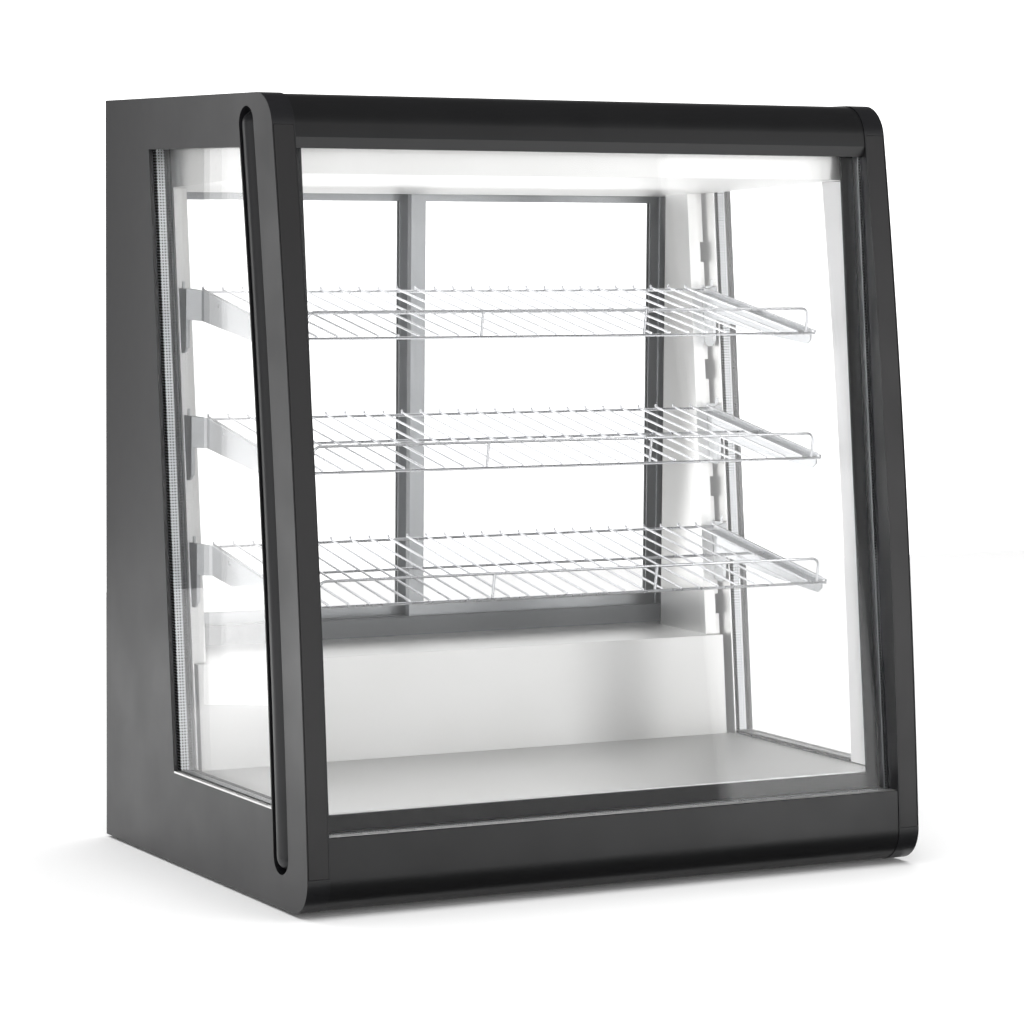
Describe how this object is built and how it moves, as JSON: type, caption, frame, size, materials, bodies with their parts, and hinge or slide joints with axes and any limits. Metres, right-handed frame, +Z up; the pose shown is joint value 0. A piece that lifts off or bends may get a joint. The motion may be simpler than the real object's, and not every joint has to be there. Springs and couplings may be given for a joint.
{
  "type": "countertop display fridge",
  "caption": "Glass-fronted countertop display fridge with curved black side panels, tilted wire shelves and sliding rear doors.",
  "frame": {"origin": "on the ground, under the middle of the case", "axes": "+Z up, -Y out of the glass front, +X to the right seen from the front"},
  "size_m": [0.706, 0.5156, 0.788],
  "materials": {
    "black_moulding": "satin black",
    "black_powder_coat": "satin black powder coat",
    "black_rubber": "matt",
    "satin_aluminium": "satin anodised",
    "brushed_stainless": "brushed",
    "zinc_plated_steel": "satin",
    "chromed_wire": "bright",
    "clear_glass": "polished",
    "black_plastic": "fine grain",
    "galvanised_steel": "galvanised",
    "black_enamel": "gloss",
    "copper_tube": "drawn",
    "frosted_acrylic": "frosted"
  },
  "bodies": {
    "case": {"bar_end_caps": "black_moulding", "base_pan": "galvanised_steel", "bottom_cover": "black_powder_coat", "ceiling_housing": "brushed_stainless", "compressor": "black_enamel", "condenser_coil": "satin_aluminium", "condenser_fan_housing": "black_plastic", "control_plate": "galvanised_steel", "deck_plate": "brushed_stainless", "door_frame": "black_plastic", "duct_cover": "brushed_stainless", "feet": "black_rubber", "front_edge_strips": "black_moulding", "front_gasket": "black_rubber", "front_inner_pane": "clear_glass", "front_outer_pane": "clear_glass", "front_spacer": "satin_aluminium", "front_vent_ledge": "brushed_stainless", "lamp_diffuser": "frosted_acrylic", "left_inner_pane": "clear_glass", "left_liner": "brushed_stainless", "left_outer_pane": "clear_glass", "left_side_panel": "black_moulding", "left_trim_bar": "black_moulding", "left_upright": "brushed_stainless", "low_shelf_brackets": "zinc_plated_steel", "mid_shelf_brackets": "zinc_plated_steel", "power_inlet": "black_plastic", "rear_panel": "galvanised_steel", "refrigerant_pipe": "copper_tube", "right_inner_pane": "clear_glass", "right_liner": "brushed_stainless", "right_outer_pane": "clear_glass", "right_side_panel": "black_moulding", "right_trim_bar": "black_moulding", "right_upright": "brushed_stainless", "side_gaskets": "black_rubber", "side_spacers": "satin_aluminium", "side_vent_ledges": "brushed_stainless", "top_cover": "black_powder_coat", "top_panel": "black_powder_coat", "top_shelf_brackets": "zinc_plated_steel"},
    "left_door": {"left_door_frame": "satin_aluminium", "left_door_glass": "clear_glass"},
    "right_door": {"right_door_frame": "satin_aluminium", "right_door_glass": "clear_glass"},
    "top_shelf": {"shelf_top": "chromed_wire", "shelf_top_long_wires": "chromed_wire", "shelf_top_guard": "chromed_wire"},
    "mid_shelf": {"shelf_mid": "chromed_wire", "shelf_mid_long_wires": "chromed_wire", "shelf_mid_guard": "chromed_wire"},
    "low_shelf": {"shelf_low": "chromed_wire", "shelf_low_long_wires": "chromed_wire", "shelf_low_guard": "chromed_wire"},
    "rocker": {"light_switch_rocker": "black_plastic"},
    "knob": {"thermostat_knob": "black_plastic"},
    "condenser_fan": {"condenser_fan_blades": "black_plastic"}
  },
  "joints": [
    {"name": "left_door_slide", "type": "slide", "parent": "case", "child": "left_door", "axis": [1, 0, 0], "range_m": [0, 0.3]},
    {"name": "right_door_slide", "type": "slide", "parent": "case", "child": "right_door", "axis": [-1, 0, 0], "range_m": [0, 0.3]},
    {"name": "top_shelf_lift", "type": "slide", "parent": "case", "child": "top_shelf", "axis": [0, 0, 1], "range_m": [0, 0.03]},
    {"name": "mid_shelf_lift", "type": "slide", "parent": "case", "child": "mid_shelf", "axis": [0, 0, 1], "range_m": [0, 0.03]},
    {"name": "low_shelf_lift", "type": "slide", "parent": "case", "child": "low_shelf", "axis": [0, 0, 1], "range_m": [0, 0.03]},
    {"name": "rocker_tilt", "type": "hinge", "parent": "case", "child": "rocker", "pos_m": [0.2, 0.24186, 0.123], "axis": [1, 0, 0], "range_deg": [-6, 6]},
    {"name": "knob_turn", "type": "hinge", "parent": "case", "child": "knob", "pos_m": [0.236, 0.24126, 0.123], "axis": [0, 1, 0], "range_deg": [0, 270]},
    {"name": "condenser_fan_spin", "type": "hinge", "parent": "case", "child": "condenser_fan", "pos_m": [0.104, 0.16586, 0.083], "axis": [1, 0, 0], "continuous": true}
  ]
}
